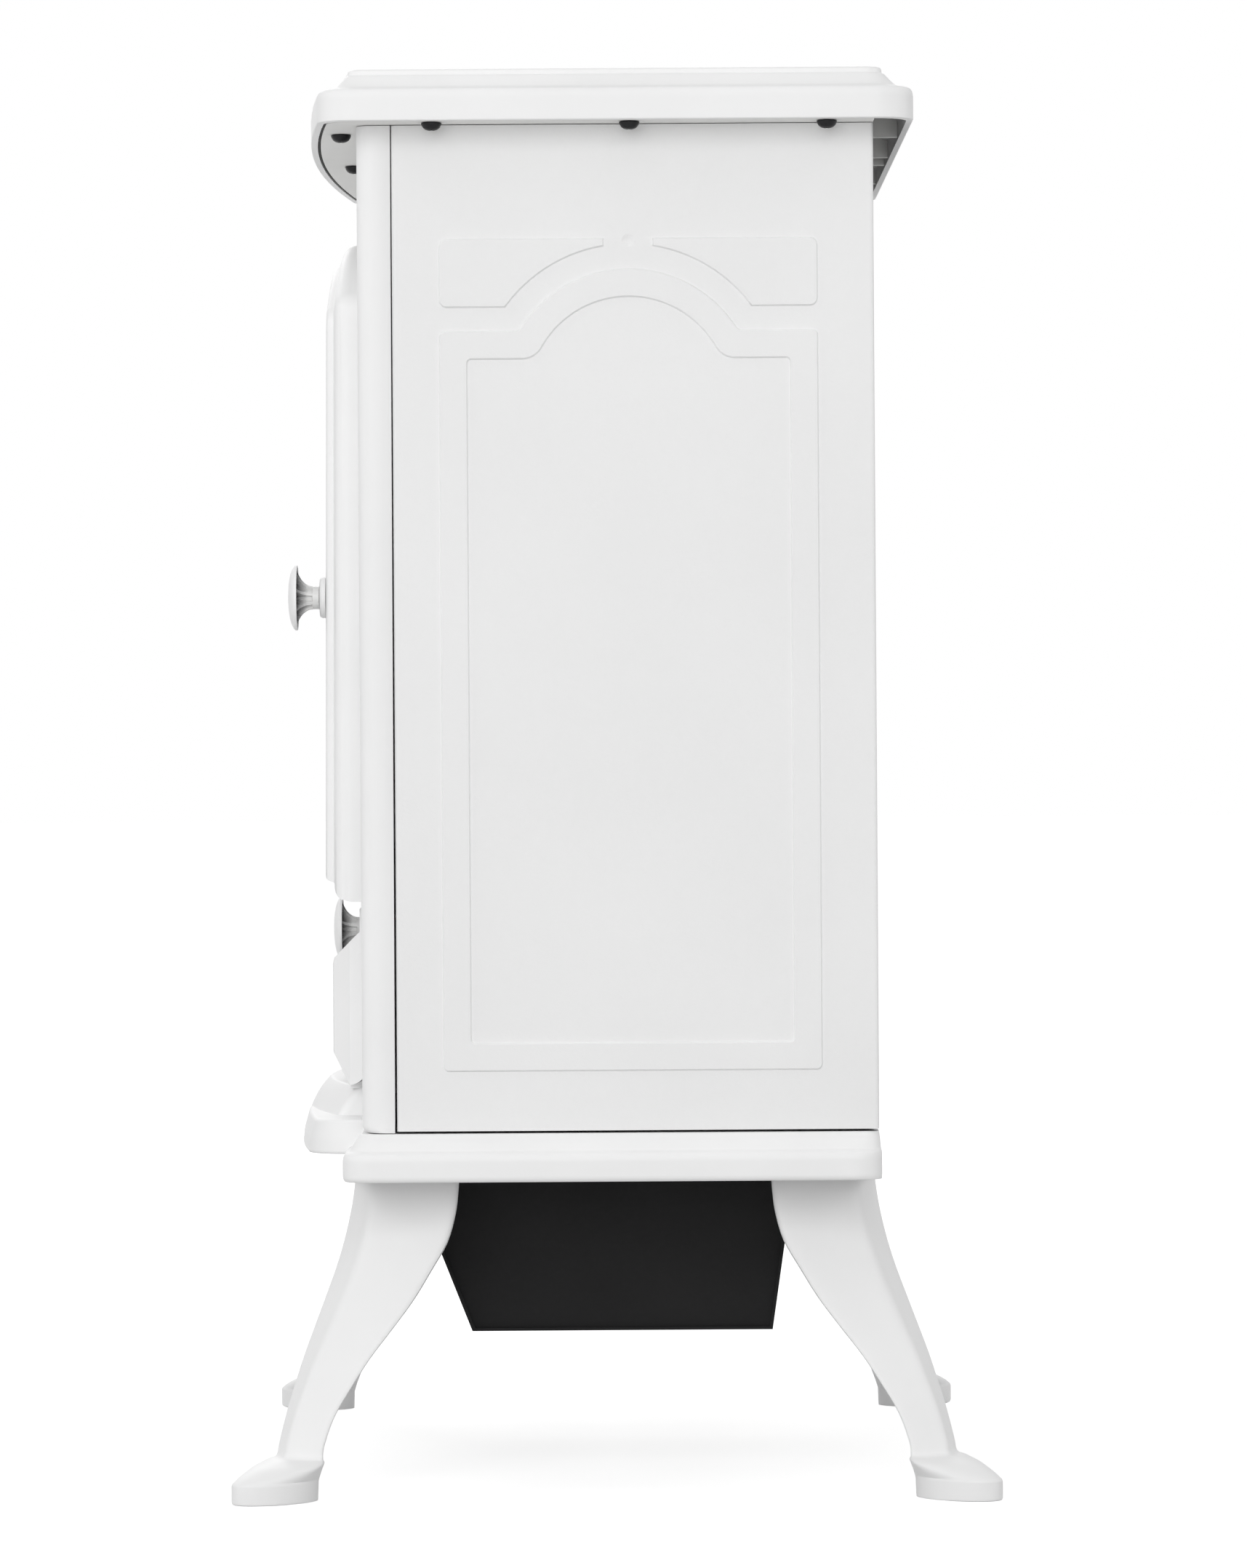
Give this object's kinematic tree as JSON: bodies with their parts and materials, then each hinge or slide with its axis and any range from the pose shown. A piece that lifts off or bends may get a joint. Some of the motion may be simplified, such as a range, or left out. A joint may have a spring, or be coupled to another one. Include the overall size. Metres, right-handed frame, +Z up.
{
  "type": "electric stove heater",
  "caption": "Freestanding electric stove heater with an arched glazed door, a drop-down control flap, pressed side panels, an overhanging top and splayed cabriole legs.",
  "frame": {"origin": "on the floor, under the middle of the stove's overall width and depth", "axes": "+Z up; the door, the flap and the hearth face -Y; +X is to the right for someone facing the door's back, so the knob is on the +X side"},
  "size_m": [0.4444, 0.3218, 0.5995],
  "materials": {
    "moulded_white": "satin white moulded plastic",
    "coated_white_steel": "fine-textured white powder coat on pressed steel sheet",
    "coated_black_steel": "matt black powder coat on steel sheet",
    "bright_steel": "zinc-plated or bare steel",
    "black_plastic": "black moulded plastic",
    "black_rubber": "black rubber edging",
    "ferrite_magnet": "bare ferrite",
    "door_glass": "smoked flat pane",
    "frosted_screen": "frosted translucent acrylic",
    "bark_resin": "bark-textured painted resin",
    "ember_resin": "moulded embers",
    "circuit_board": "circuit board with small lamps"
  },
  "bodies": {
    "stove": {"top_cover": "moulded_white", "top_underplate": "moulded_white", "front_surround": "moulded_white", "base_tray": "moulded_white", "leg_front_right": "moulded_white", "leg_rear_right": "moulded_white", "leg_rear_left": "moulded_white", "leg_front_left": "moulded_white", "side_panel_right": "coated_white_steel", "side_panel_left": "coated_white_steel", "rear_panel": "coated_black_steel", "heater_box": "coated_black_steel", "outlet_grille": "coated_black_steel", "chassis_shelf": "coated_black_steel", "firebox_liner": "coated_black_steel", "top_screw_1": "coated_black_steel", "top_screw_2": "coated_black_steel", "top_screw_3": "coated_black_steel", "top_screw_4": "coated_black_steel", "top_screw_5": "coated_black_steel", "top_screw_6": "coated_black_steel", "top_screw_7": "coated_black_steel", "top_screw_8": "coated_black_steel", "top_screw_9": "coated_black_steel", "door_hinge_pin_lower": "bright_steel", "door_hinge_pin_upper": "bright_steel", "flap_hinge_pin_left": "bright_steel", "flap_hinge_pin_right": "bright_steel", "heating_element": "bright_steel", "blower_motor": "bright_steel", "blower_bearing": "bright_steel", "rotor_motor": "bright_steel", "rotor_bearing": "bright_steel", "cable_gland": "black_plastic", "control_panel": "black_plastic", "top_edge_seal": "black_rubber", "door_magnet": "ferrite_magnet", "flap_magnet": "ferrite_magnet", "flame_screen": "frosted_screen", "log_back": "bark_resin", "log_front": "bark_resin", "log_top": "bark_resin", "ember_bed": "ember_resin", "lamp_board": "circuit_board"},
    "door": {"door_frame": "moulded_white", "door_glass": "door_glass", "glass_retainer": "coated_black_steel", "door_rosette": "moulded_white", "door_knob": "moulded_white"},
    "flap": {"flap_panel": "moulded_white", "flap_knob": "moulded_white"},
    "flame_rocker": {"flame_rocker": "black_plastic"},
    "low_heat_rocker": {"low_heat_rocker": "black_plastic"},
    "high_heat_rocker": {"high_heat_rocker": "black_plastic"},
    "thermostat_knob": {"thermostat_knob": "black_plastic"},
    "flame_rotor": {"flame_rotor": "bright_steel"},
    "blower_wheel": {"blower_wheel": "black_plastic"}
  },
  "joints": [
    {"name": "door_hinge", "type": "hinge", "parent": "stove", "child": "door", "pos_m": [-0.1555, -0.11214, 0.3948], "axis": [0, 0, -1], "range_deg": [0, 110]},
    {"name": "flap_hinge", "type": "hinge", "parent": "stove", "child": "flap", "pos_m": [0, -0.1131, 0.1778], "axis": [1, 0, 0], "range_deg": [0, 90]},
    {"name": "flame_rocker_tip", "type": "hinge", "parent": "stove", "child": "flame_rocker", "pos_m": [-0.072, -0.0889, 0.21], "axis": [-1, 0, 0], "range_deg": [0, 16]},
    {"name": "low_heat_rocker_tip", "type": "hinge", "parent": "stove", "child": "low_heat_rocker", "pos_m": [-0.042, -0.0889, 0.21], "axis": [-1, 0, 0], "range_deg": [0, 16]},
    {"name": "high_heat_rocker_tip", "type": "hinge", "parent": "stove", "child": "high_heat_rocker", "pos_m": [-0.012, -0.0889, 0.21], "axis": [-1, 0, 0], "range_deg": [0, 16]},
    {"name": "thermostat_turn", "type": "hinge", "parent": "stove", "child": "thermostat_knob", "pos_m": [0.062, -0.0889, 0.21], "axis": [0, 1, 0], "range_deg": [0, 270]},
    {"name": "flame_rotor_spin", "type": "hinge", "parent": "stove", "child": "flame_rotor", "pos_m": [0, 0.0404, 0.2992], "axis": [1, 0, 0], "continuous": true},
    {"name": "blower_spin", "type": "hinge", "parent": "stove", "child": "blower_wheel", "pos_m": [0, 0.022, 0.0967], "axis": [1, 0, 0], "continuous": true}
  ]
}
